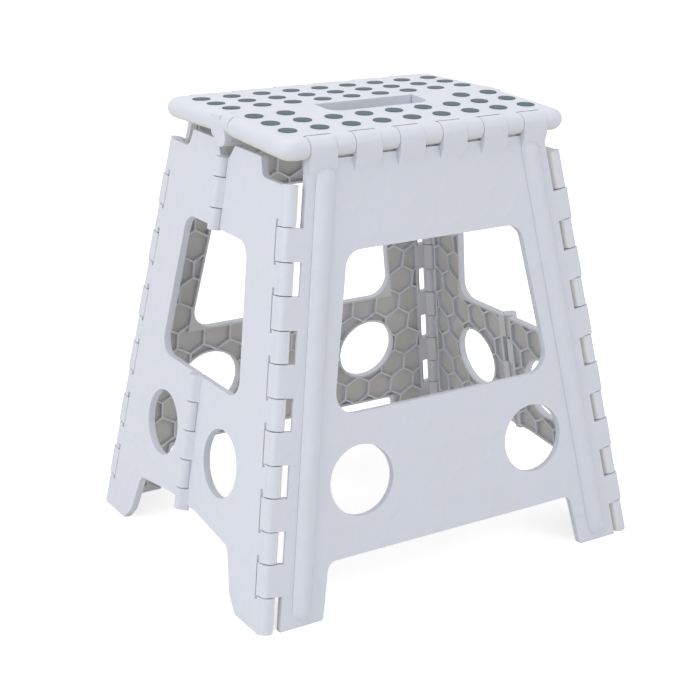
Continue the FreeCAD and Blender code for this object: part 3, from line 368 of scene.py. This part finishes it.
class Finishes:
    """Makes the materials.

    Args:
        lean: Angles of the panels, so that the honeycomb lies in each one's plane.
    """

    def __init__(self, lean: Lean) -> None:
        self.lean = lean
        self.effects = SharedEffects()
        self.plastic_finish = PlasticFinish()
        self.rubber_finish = RubberFinish()
        self.steel_finish = SteelFinish()
        self.rubber = self._rubber()
        self.steel = self._steel()
        self.plastics = {relief: self._plastic(relief) for relief in Relief}

    @staticmethod
    def _blank(name: str) -> tuple:
        """New material with only its shader.

        Returns:
            The material, its helper and the shader node.
        """
        material = bpy.data.materials.new(name)
        material.use_nodes = True
        kit = NodeKit(material.node_tree)
        return material, kit, material.node_tree.nodes["Principled BSDF"]

    def _use(self, kit: NodeKit, group: bpy.types.NodeTree, vector: bpy.types.NodeSocket) -> bpy.types.Node:
        """Group node fed with a vector."""
        node = kit.add("ShaderNodeGroup")
        node.node_tree = group
        kit.link(vector, node.inputs["Vector"])
        return node

    def _outward(self, relief: Relief) -> tuple:
        """Direction that a panel's outer face looks."""
        if relief is Relief.SEAT:
            return (0.0, 0.0, 1.0)
        return tuple(self.lean.frame(relief).to_3x3().col[2])

    def _plastic(self, relief: Relief) -> bpy.types.Material:
        """White plastic with the honeycomb faintly showing through, and painted shade on its inner sides:
        darker in the cells, with painted light on the rib crests.
        """
        finish = self.plastic_finish
        material, kit, shader = self._blank(f"white_plastic_{relief.value}")
        texture = kit.add("ShaderNodeTexCoord")
        coordinates = texture.outputs["Object"]
        turned = kit.add("ShaderNodeMapping", vector_type="TEXTURE")
        kit.link(coordinates, turned.inputs["Vector"])
        place = self.lean.frame(relief)
        turned.inputs["Location"].default_value = place @ Vector((0.0, RibGrid.first_row, 0.0))
        turned.inputs["Rotation"].default_value = place.to_euler()
        cells = self._use(kit, self.effects.hexagons, turned.outputs["Vector"])
        grain = self._use(kit, self.effects.grain, coordinates)
        grain.inputs["Scale"].default_value = finish.grain_scale
        mix = kit.add("ShaderNodeMix", data_type="RGBA")
        mix.inputs[6].default_value = (*finish.colour, 1.0)
        mix.inputs[7].default_value = (*finish.shade, 1.0)
        weight = kit.math("MULTIPLY", kit.math("SUBTRACT", grain.outputs["Mottle"], 0.35), 0.5)
        kit.link(weight, mix.inputs["Factor"])
        # Painted shade: faces that look inwards take a darker, warmer colour, because little light reaches
        # the inner sides.
        facing = kit.vector("DOT_PRODUCT", texture.outputs["Normal"], self._outward(relief)).outputs["Value"]
        inner = kit.add("ShaderNodeMapRange", interpolation_type="SMOOTHSTEP")
        kit.link(facing, inner.inputs["Value"])
        inner.inputs["From Min"].default_value = -0.1
        inner.inputs["From Max"].default_value = -0.7
        parts = kit.add("ShaderNodeSeparateXYZ")
        kit.link(turned.outputs["Vector"], parts.inputs[0])
        # Painted shade and light by depth: darkest at the cell floors, lightest on the rib crests.
        level = kit.add("ShaderNodeMapRange", interpolation_type="SMOOTHSTEP")
        kit.link(parts.outputs["Z"], level.inputs["Value"])
        level.inputs["From Min"].default_value = -RibGrid.skin
        level.inputs["From Max"].default_value = -RibGrid.depth
        depth = kit.add("ShaderNodeMix", data_type="RGBA")
        kit.link(level.outputs["Result"], depth.inputs["Factor"])
        depth.inputs[6].default_value = (*finish.painted_pocket_shade, 1.0)
        depth.inputs[7].default_value = (*finish.painted_crest_light, 1.0)
        # Mix the painted inner-side shade into faces that look inwards.
        painted_inner_shade_mix = kit.add("ShaderNodeMix", data_type="RGBA")
        kit.link(inner.outputs["Result"], painted_inner_shade_mix.inputs["Factor"])
        kit.link(mix.outputs[2], painted_inner_shade_mix.inputs[6])
        kit.link(depth.outputs[2], painted_inner_shade_mix.inputs[7])
        kit.link(painted_inner_shade_mix.outputs[2], shader.inputs["Base Color"])
        rough = kit.add("ShaderNodeMapRange")
        rough.inputs["To Min"].default_value = finish.roughness - 0.06
        rough.inputs["To Max"].default_value = finish.roughness + 0.08
        kit.link(grain.outputs["Mottle"], rough.inputs["Value"])
        kit.link(rough.outputs["Result"], shader.inputs["Roughness"])
        coarse = kit.add("ShaderNodeBump")
        coarse.inputs["Distance"].default_value = finish.relief_depth
        coarse.inputs["Strength"].default_value = 0.0 if relief is Relief.SEAT else 1.0
        kit.link(cells.outputs["Rib"], coarse.inputs["Height"])
        fine = kit.add("ShaderNodeBump")
        fine.inputs["Distance"].default_value = finish.grain_step
        fine.inputs["Strength"].default_value = finish.grain_depth * 4
        kit.link(grain.outputs["Height"], fine.inputs["Height"])
        kit.link(coarse.outputs["Normal"], fine.inputs["Normal"])
        kit.link(fine.outputs["Normal"], shader.inputs["Normal"])
        shader.inputs["Subsurface Weight"].default_value = 0.12
        shader.inputs["Subsurface Radius"].default_value = (0.003, 0.003, 0.003)
        shader.inputs["Subsurface Scale"].default_value = 1.0
        shader.inputs["IOR"].default_value = 1.49
        return material

    def _rubber(self) -> bpy.types.Material:
        """Dark soft discs, a little dusty."""
        finish = self.rubber_finish
        material, kit, shader = self._blank("grip_rubber_discs")
        coordinates = kit.add("ShaderNodeTexCoord").outputs["Object"]
        grain = self._use(kit, self.effects.grain, coordinates)
        grain.inputs["Scale"].default_value = finish.grain_scale
        mix = kit.add("ShaderNodeMix", data_type="RGBA")
        mix.inputs[6].default_value = (*finish.colour, 1.0)
        mix.inputs[7].default_value = (*finish.worn, 1.0)
        kit.link(grain.outputs["Mottle"], mix.inputs["Factor"])
        kit.link(mix.outputs[2], shader.inputs["Base Color"])
        shader.inputs["Roughness"].default_value = finish.roughness
        bump = kit.add("ShaderNodeBump")
        bump.inputs["Distance"].default_value = 0.0001
        bump.inputs["Strength"].default_value = 0.5
        kit.link(grain.outputs["Height"], bump.inputs["Height"])
        kit.link(bump.outputs["Normal"], shader.inputs["Normal"])
        return material

    def _steel(self) -> bpy.types.Material:
        """Drawn steel wire."""
        finish = self.steel_finish
        material, kit, shader = self._blank("steel_pin_wire")
        coordinates = kit.add("ShaderNodeTexCoord").outputs["Object"]
        grain = self._use(kit, self.effects.grain, coordinates)
        ramp = kit.add("ShaderNodeMapRange")
        ramp.inputs["To Min"].default_value = finish.roughness - 0.08
        ramp.inputs["To Max"].default_value = finish.roughness + 0.12
        kit.link(grain.outputs["Height"], ramp.inputs["Value"])
        kit.link(ramp.outputs["Result"], shader.inputs["Roughness"])
        shader.inputs["Base Color"].default_value = (*finish.colour, 1.0)
        shader.inputs["Metallic"].default_value = 1.0
        return material


class Outline:
    """Flat outlines in a panel's own frame, in millimetres.

    Args:
        lean: Angles and feet of the panels.
    """

    front_margin = 14.0
    side_margin = 8.6

    def __init__(self, lean: Lean) -> None:
        self.lean = lean

    @staticmethod
    def inset(corners: list, by: float) -> list:
        """Move every edge of a polygon inwards.

        Args:
            corners: Corners in turn, either way round.
            by: Distance; negative moves outwards.

        Returns:
            The new corners.
        """
        area = sum(a[0] * b[1] - b[0] * a[1] for a, b in zip(corners, corners[1:] + corners[:1]))
        sign = by if area > 0 else -by
        lines = []
        for start, end in zip(corners, corners[1:] + corners[:1]):
            along = (Vector(end) - Vector(start)).normalized()
            lines.append((Vector(start) + Vector((-along.y, along.x)) * sign, along))
        moved = []
        for (point, way), (other, turn) in zip(lines[-1:] + lines[:-1], lines):
            cross = way.x * turn.y - way.y * turn.x
            gap = other - point
            moved.append(tuple(point + way * ((gap.x * turn.y - gap.y * turn.x) / cross)))
        return moved

    def front(self) -> tuple:
        """Front or rear panel.

        Returns:
            The ribbed region, its windows, and its holes as (x, y, radius).
        """
        up = 1.0 / math.cos(self.lean.front)
        edge = [184.118 - 0.16077 * z - self.front_margin for z in (-4.0, 366.0)]
        right = [(134.4, -4.0 * up), (edge[0], -4.0 * up), (edge[1], 366.0 * up)]
        left = [(-x, y) for x, y in reversed(right)]
        region = right + left + [(-124.6, 46.8 * up), (124.6, 46.8 * up)]
        window = [(-109.0, 164.3 * up), (109.0, 164.3 * up), (85.4, 295.0 * up), (-85.4, 295.0 * up)]
        return region, [window], [(x, 108.0 * up, 30.0) for x in (-87.2, 87.2)]

    def side(self, hand: int) -> tuple:
        """One half of an end panel, hand +1 for the left front and the right rear one.

        Returns:
            The ribbed region, its windows, and its holes as (x, y, radius).
        """
        up = 1.0 / math.cos(self.lean.side)
        edge = [151.133 - 0.14538 * z - self.side_margin for z in (-4.0, 350.0)]
        region = [
            (7.2, 56.0 * up), (26.0, 56.0 * up), (85.0, 48.6 * up), (97.5, 13.0 * up), (114.5, -4.0 * up),
            (edge[0], -4.0 * up), (edge[1], 350.0 * up), (60.0, 352.0 * up), (7.2, 352.0 * up),
            (7.2, 295.4 * up), (54.7, 295.4 * up), (73.2, 169.6 * up), (7.2, 169.6 * up),
        ]
        return [(hand * x, y) for x, y in region], [], [(hand * 55.0, 110.0 * up, 29.0)]


class Honeycomb:
    """Cuts the full rib pattern, edge cells too, behind a panel's skin.

    Args:
        grid: Sizes of the ribs.
        lean: Angles and feet of the panels.
    """

    def __init__(self, grid: RibGrid, lean: Lean) -> None:
        self.grid = grid
        self.lean = lean
        self.outline = Outline(lean)
        self.tree = self._tree()

    def _tree(self) -> bpy.types.NodeTree:
        """Geometry nodes: hexagonal cells on a grid, kept inside a limit, taken from the moulding."""
        tree = bpy.data.node_groups.new("RibCells", "GeometryNodeTree")
        face = tree.interface
        face.new_socket(name="Moulding", in_out="INPUT", socket_type="NodeSocketGeometry")
        for kind, label in (
            ("NodeSocketObject", "Limit"), ("NodeSocketFloat", "Pitch"), ("NodeSocketFloat", "Rib"),
            ("NodeSocketFloat", "Depth"), ("NodeSocketInt", "Columns"), ("NodeSocketInt", "Rows"),
            ("NodeSocketVector", "Middle"), ("NodeSocketVector", "Place"), ("NodeSocketVector", "Turn"),
            ("NodeSocketMaterial", "Finish"),
        ):
            face.new_socket(name=label, in_out="INPUT", socket_type=kind)
        face.new_socket(name="Ribbed", in_out="OUTPUT", socket_type="NodeSocketGeometry")
        kit = NodeKit(tree)
        entry = kit.add("NodeGroupInput")
        leave = kit.add("NodeGroupOutput")
        cell = kit.add("GeometryNodeMeshCylinder", fill_type="NGON")
        cell.inputs["Vertices"].default_value = 6
        across = kit.math("SUBTRACT", entry.outputs["Pitch"], entry.outputs["Rib"])
        kit.link(kit.math("DIVIDE", across, math.sqrt(3.0)), cell.inputs["Radius"])
        kit.link(entry.outputs["Depth"], cell.inputs["Depth"])
        upright = kit.add("GeometryNodeTransform")
        upright.inputs["Rotation"].default_value = (0.0, 0.0, math.radians(30.0))
        kit.link(cell.outputs["Mesh"], upright.inputs["Geometry"])
        step = kit.math("MULTIPLY", entry.outputs["Pitch"], math.sqrt(3.0) / 2)
        points = kit.add("GeometryNodeMeshGrid")
        kit.link(entry.outputs["Columns"], points.inputs["Vertices X"])
        kit.link(entry.outputs["Rows"], points.inputs["Vertices Y"])
        gaps = kit.math("SUBTRACT", entry.outputs["Columns"], 1.0)
        wide = kit.math("MULTIPLY", gaps, entry.outputs["Pitch"])
        tall = kit.math("MULTIPLY", kit.math("SUBTRACT", entry.outputs["Rows"], 1.0), step)
        kit.link(wide, points.inputs["Size X"])
        kit.link(tall, points.inputs["Size Y"])
        spot = kit.add("GeometryNodeInputPosition")
        parts = kit.add("ShaderNodeSeparateXYZ")
        kit.link(spot.outputs[0], parts.inputs[0])
        lifted = kit.math("ADD", parts.outputs["Y"], kit.math("DIVIDE", tall, 2.0))
        row = kit.math("ROUND", kit.math("DIVIDE", lifted, step))
        odd = kit.math("MODULO", row, 2.0)
        shift = kit.add("ShaderNodeCombineXYZ")
        half = kit.math("DIVIDE", entry.outputs["Pitch"], 2.0)
        kit.link(kit.math("MULTIPLY", odd, half), shift.inputs["X"])
        kit.link(kit.math("DIVIDE", tall, 2.0), shift.inputs["Y"])
        moved = kit.add("GeometryNodeSetPosition")
        kit.link(points.outputs["Mesh"], moved.inputs["Geometry"])
        kit.link(shift.outputs[0], moved.inputs["Offset"])
        centred = kit.add("GeometryNodeTransform")
        kit.link(moved.outputs[0], centred.inputs["Geometry"])
        kit.link(entry.outputs["Middle"], centred.inputs["Translation"])
        spread = kit.add("GeometryNodeInstanceOnPoints")
        kit.link(centred.outputs[0], spread.inputs["Points"])
        kit.link(upright.outputs[0], spread.inputs["Instance"])
        cells = kit.add("GeometryNodeRealizeInstances")
        kit.link(spread.outputs[0], cells.inputs[0])
        laid = kit.add("GeometryNodeTransform")
        kit.link(cells.outputs[0], laid.inputs["Geometry"])
        kit.link(entry.outputs["Place"], laid.inputs["Translation"])
        kit.link(entry.outputs["Turn"], laid.inputs["Rotation"])
        limit = kit.add("GeometryNodeObjectInfo", transform_space="RELATIVE")
        kit.link(entry.outputs["Limit"], limit.inputs["Object"])
        kept = kit.add("GeometryNodeMeshBoolean", operation="INTERSECT", solver="MANIFOLD")
        kit.link(laid.outputs[0], kept.inputs["Mesh 2"])
        kit.link(limit.outputs["Geometry"], kept.inputs["Mesh 2"])
        cut = kit.add("GeometryNodeMeshBoolean", operation="DIFFERENCE", solver="MANIFOLD")
        kit.link(entry.outputs["Moulding"], cut.inputs["Mesh 1"])
        kit.link(kept.outputs["Mesh"], cut.inputs["Mesh 2"])
        whole = kit.add("GeometryNodeRealizeInstances")
        kit.link(cut.outputs["Mesh"], whole.inputs[0])
        dressed = kit.add("GeometryNodeSetMaterial")
        kit.link(whole.outputs[0], dressed.inputs["Geometry"])
        kit.link(entry.outputs["Finish"], dressed.inputs["Material"])
        kit.link(dressed.outputs[0], leave.inputs["Ribbed"])
        return tree

    @staticmethod
    def _prism(corners: list, low: float, high: float, place: Matrix) -> bmesh.types.BMesh:
        """Closed prism over a polygon.

        Args:
            corners: Polygon in millimetres.
            low: Height of its lower face in metres.
            high: Height of its upper face.
            place: Frame it stands in.

        Returns:
            The prism.
        """
        work = bmesh.new()
        rings = []
        for level in (low, high):
            rings.append([work.verts.new(place @ Vector((x * MM, y * MM, level))) for x, y in corners])
        work.faces.new(rings[0])
        work.faces.new(rings[1])
        for index in range(len(corners)):
            after = (index + 1) % len(corners)
            work.faces.new((rings[0][index], rings[0][after], rings[1][after], rings[1][index]))
        bmesh.ops.recalc_face_normals(work, faces=work.faces)
        bmesh.ops.triangulate(work, faces=work.faces)
        return work

    def _as_object(self, name: str, work: bmesh.types.BMesh) -> bpy.types.Object:
        """Object that holds a bmesh."""
        mesh = bpy.data.meshes.new(name)
        work.to_mesh(mesh)
        work.free()
        holder = bpy.data.objects.new(name, mesh)
        bpy.context.scene.collection.objects.link(holder)
        return holder

    def limit(self, name: str, shape: tuple, place: Matrix) -> bpy.types.Object:
        """Region that the cells may fill.

        Args:
            name: Name for the object.
            shape: Region, windows and holes.
            place: Frame of the panel.

        Returns:
            The region as a closed solid.
        """
        region, windows, holes = shape
        wall = self.grid.wall / MM
        low, high = -self.grid.depth - 0.002, -self.grid.skin
        base = self._as_object(name, self._prism(Outline.inset(region, wall), low, high, place))
        rings = [Outline.inset(window, -wall) for window in windows]
        for x, y, radius in holes:
            angles = [math.tau * turn / 48 for turn in range(48)]
            reach = radius + wall
            rings.append([(x + reach * math.cos(a), y + reach * math.sin(a)) for a in angles])
        for index, ring in enumerate(rings):
            keep = self._as_object(f"{name}_{index}", self._prism(ring, low - 0.001, high + 0.001, place))
            modifier = base.modifiers.new("keep", "BOOLEAN")
            modifier.object = keep
            modifier.operation = "DIFFERENCE"
            modifier.solver = "EXACT"
            self.settle(base)
            bpy.data.objects.remove(keep)
        return base

    @staticmethod
    def settle(piece: bpy.types.Object) -> None:
        """Turn the modifiers' result into the object's plain mesh."""
        bpy.context.view_layer.update()
        graph = bpy.context.evaluated_depsgraph_get()
        made = bpy.data.meshes.new_from_object(piece.evaluated_get(graph))
        piece.modifiers.clear()
        piece.data = made

    def cut(self, piece: bpy.types.Object, relief: Relief, hand: int, finish: bpy.types.Material) -> None:
        """Cut the rib cells into a dressed panel.

        Args:
            piece: Dressed panel.
            relief: Which panel it is.
            hand: 0 for a front or rear panel, otherwise the half of an end panel.
            finish: Material of the panel.
        """
        grid = self.grid
        place = self.lean.frame(relief)
        shape = self.outline.side(hand) if hand else self.outline.front()
        limit = self.limit(piece.name + "_limit", shape, place)
        middle = hand * grid.half_centre
        modifier = piece.modifiers.new("ribs", "NODES")
        modifier.node_group = self.tree
        values = {
            "Limit": limit, "Pitch": grid.pitch, "Rib": grid.rib, "Depth": grid.cut_height,
            "Columns": grid.columns, "Rows": grid.rows,
            "Middle": (middle, grid.first_row, -grid.skin - grid.cut_height / 2),
            "Place": tuple(place.to_translation()), "Turn": tuple(place.to_euler()), "Finish": finish,
        }
        for item in self.tree.interface.items_tree:
            if item.in_out == "INPUT" and item.name in values:
                modifier[item.identifier] = values[item.name]
        before = len(piece.data.vertices)
        self.settle(piece)
        LOG.info("%s: ribs, %d to %d vertices", piece.name, before, len(piece.data.vertices))
        bpy.data.objects.remove(limit)


class Mouldings:
    """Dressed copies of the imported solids: welded, with rounded edges and full ribs.

    Args:
        finishes: Materials to use.
        ribs: Cutter for the rib pattern.
    """

    weld = 0.000005
    flat_angle = math.radians(0.6)
    round_angle = math.radians(40)
    sharp_angle = math.radians(38)
    fold_zone = 0.02

    def __init__(self, finishes: Finishes, ribs: Honeycomb) -> None:
        self.finishes = finishes
        self.ribs = ribs

    def dress(self, node: str, relief: Relief, hand: int, round_by: float) -> bpy.types.Object:
        """Replace a CAD node with a copy that has rounded edges.

        Args:
            node: CAD node.
            relief: Which panel it is.
            hand: Half of an end panel, 0 for a front or rear panel.
            round_by: Edge rounding in metres, 0 for none.

        Returns:
            The new object.
        """
        source = frame["nodes"][node]
        material = self.finishes.plastics[relief]
        mesh = source.data.copy()
        mesh.name = node + "_moulding"
        work = bmesh.new()
        work.from_mesh(mesh)
        bmesh.ops.remove_doubles(work, verts=work.verts, dist=self.weld)
        bmesh.ops.dissolve_limit(
            work, angle_limit=self.flat_angle, verts=work.verts, edges=work.edges, delimit={"NORMAL"}
        )
        self._weigh(work, bool(hand))
        work.to_mesh(mesh)
        work.free()
        piece = bpy.data.objects.new(node + "_moulding", mesh)
        bpy.context.scene.collection.objects.link(piece)
        mesh.materials.clear()
        mesh.materials.append(material)
        if round_by > 0:
            self._round(piece, round_by)
        if relief is not Relief.SEAT:
            self.ribs.cut(piece, relief, hand, material)
        self._shade(piece)
        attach(piece, source["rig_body"])
        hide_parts(node)
        return piece

    def _weigh(self, work: bmesh.types.BMesh, half: bool) -> None:
        """Mark the edges to round: sharp ones, but no inner corners beside a middle fold.

        Args:
            work: Welded moulding.
            half: Whether it is one half of an end panel.
        """
        layer = work.edges.layers.float.new("bevel_weight_edge")
        for edge in work.edges:
            if len(edge.link_faces) != 2 or edge.calc_face_angle(0.0) < self.round_angle:
                continue
            near = half and min(abs(vert.co.y) for vert in edge.verts) < self.fold_zone
            edge[layer] = 1.0 if edge.is_convex or not near else 0.0

    @staticmethod
    def _round(piece: bpy.types.Object, width: float) -> None:
        """Bevel the edges that carry a weight.

        Args:
            piece: Welded moulding.
            width: Rounding in metres.
        """
        bevel = piece.modifiers.new("edges", "BEVEL")
        bevel.width = width
        bevel.segments = 2
        bevel.limit_method = "WEIGHT"
        bevel.use_clamp_overlap = True
        bevel.harden_normals = False
        Honeycomb.settle(piece)

    def _shade(self, piece: bpy.types.Object) -> None:
        """Shade smoothly with sharp rib edges, and keep the flats flat.

        Args:
            piece: Finished moulding.
        """
        work = bmesh.new()
        work.from_mesh(piece.data)
        bmesh.ops.remove_doubles(work, verts=work.verts, dist=0.000002)
        for face in work.faces:
            face.smooth = True
        for edge in work.edges:
            edge.smooth = edge.calc_face_angle(0.0) < self.sharp_angle
        work.to_mesh(piece.data)
        work.free()
        weighted = piece.modifiers.new("normals", "WEIGHTED_NORMAL")
        weighted.keep_sharp = True
        Honeycomb.settle(piece)


class Studio:
    """Floor, light and camera.

    Args:
        photo: Camera fitted to the photograph.
    """

    def __init__(self, photo: PhotoView) -> None:
        self.photo = photo

    def build(self) -> None:
        """Make everything around the object."""
        self._world()
        self._floor()
        self._lamps()
        self._camera()
        bpy.context.scene.view_settings.view_transform = "Standard"

    @staticmethod
    def _world() -> None:
        """White to the camera and in reflections, soft light elsewhere."""
        world = bpy.data.worlds.new("studio")
        bpy.context.scene.world = world
        world.use_nodes = True
        kit = NodeKit(world.node_tree)
        paths = kit.add("ShaderNodeLightPath")
        seen = kit.math("MAXIMUM", paths.outputs["Is Camera Ray"], paths.outputs["Is Transmission Ray"])
        seen = kit.math("MAXIMUM", seen, paths.outputs["Is Glossy Ray"])
        white = kit.add("ShaderNodeBackground")
        white.inputs["Color"].default_value = (1.0, 1.0, 1.0, 1.0)
        white.inputs["Strength"].default_value = 1.0
        soft = world.node_tree.nodes["Background"]
        soft.inputs["Color"].default_value = (1.0, 1.0, 1.0, 1.0)
        soft.inputs["Strength"].default_value = 0.58
        mix = kit.add("ShaderNodeMixShader")
        kit.link(seen, mix.inputs[0])
        kit.link(soft.outputs[0], mix.inputs[1])
        kit.link(white.outputs[0], mix.inputs[2])
        kit.link(mix.outputs[0], world.node_tree.nodes["World Output"].inputs["Surface"])

    @staticmethod
    def _floor() -> None:
        """Pale floor that keeps the shadow."""
        bpy.ops.mesh.primitive_plane_add(size=12.0, location=(0.0, 0.0, 0.0))
        floor = bpy.context.object
        floor.name = "floor"
        material = bpy.data.materials.new("floor_white")
        material.use_nodes = True
        kit = NodeKit(material.node_tree)
        shader = material.node_tree.nodes["Principled BSDF"]
        shader.inputs["Base Color"].default_value = (0.93, 0.93, 0.93, 1.0)
        shader.inputs["Roughness"].default_value = 0.9
        glow = kit.add("ShaderNodeEmission")
        glow.inputs["Color"].default_value = (1.0, 1.0, 1.0, 1.0)
        glow.inputs["Strength"].default_value = 0.56
        paths = kit.add("ShaderNodeLightPath")
        total = kit.add("ShaderNodeAddShader")
        kit.link(shader.outputs[0], total.inputs[0])
        kit.link(glow.outputs[0], total.inputs[1])
        mix = kit.add("ShaderNodeMixShader")
        kit.link(paths.outputs["Is Camera Ray"], mix.inputs[0])
        kit.link(shader.outputs[0], mix.inputs[1])
        kit.link(total.outputs[0], mix.inputs[2])
        kit.link(mix.outputs[0], material.node_tree.nodes["Material Output"].inputs["Surface"])
        floor.data.materials.append(material)

    @staticmethod
    def _lamps() -> None:
        """Large soft lamps: overhead, front left and a low fill."""
        for name, place, size, power in (
            ("overhead", (-0.2, 0.1, 1.9), 1.6, 10.0),
            ("left_side", (-1.9, -0.3, 1.0), 1.3, 10.0),
            ("front_right", (0.9, -2.0, 1.6), 1.2, 9.0),
        ):
            data = bpy.data.lights.new(name, "AREA")
            data.size = size
            data.energy = power
            lamp = bpy.data.objects.new(name, data)
            lamp.location = place
            way = Vector((0.0, 0.0, 0.2)) - Vector(place)
            lamp.rotation_mode = "QUATERNION"
            lamp.rotation_quaternion = way.to_track_quat("-Z", "Y")
            bpy.context.scene.collection.objects.link(lamp)

    def _camera(self) -> None:
        """Camera at the photograph's angle."""
        photo = self.photo
        azimuth, elevation, roll = (math.radians(a) for a in (photo.azimuth, photo.elevation, photo.roll))
        back = Vector((
            math.sin(azimuth) * math.cos(elevation),
            -math.cos(azimuth) * math.cos(elevation),
            math.sin(elevation),
        ))
        ahead = -back
        right = ahead.cross(Vector((0.0, 0.0, 1.0))).normalized()
        down = ahead.cross(right).normalized()
        across = right * math.cos(roll) - down * math.sin(roll)
        up = -(right * math.sin(roll) + down * math.cos(roll))
        data = bpy.data.cameras.new("photo_view")
        data.sensor_width = 36.0
        data.lens = photo.focal_pixels / photo.image_size * 36.0
        data.shift_x = -photo.centre_shift[0] / photo.image_size
        data.shift_y = photo.centre_shift[1] / photo.image_size
        camera = bpy.data.objects.new("photo_view", data)
        turn = Matrix((across, up, back)).transposed().to_4x4()
        camera.matrix_world = Matrix.Translation(Vector(photo.target) + back * photo.distance) @ turn
        bpy.context.scene.collection.objects.link(camera)
        bpy.context.scene.camera = camera


def main() -> None:
    """Dress the frame, light it and place the camera."""
    logging.basicConfig(level=logging.INFO)
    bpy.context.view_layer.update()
    lean = Lean()
    finishes = Finishes(lean)
    mouldings = Mouldings(finishes, Honeycomb(RibGrid(), lean))
    plastics = {
        "front_panel": (Relief.FRONT, 0),
        "rear_panel": (Relief.REAR, 0),
        "left_front_side": (Relief.LEFT, 1),
        "left_rear_side": (Relief.LEFT, -1),
        "right_rear_side": (Relief.RIGHT, 1),
        "right_front_side": (Relief.RIGHT, -1),
        "seat_front": (Relief.SEAT, 0),
        "seat_rear": (Relief.SEAT, 0),
    }
    for node, (relief, hand) in plastics.items():
        mouldings.dress(node, relief, hand, 0.5 * MM)
    for name, node in frame["nodes"].items():
        if name in plastics:
            continue
        node.data.materials.clear()
        node.data.materials.append(finishes.rubber if "dots" in name else finishes.steel)
        for polygon in node.data.polygons:
            polygon.use_smooth = False
    Studio(PhotoView()).build()


if __name__ == "__main__":
    main()
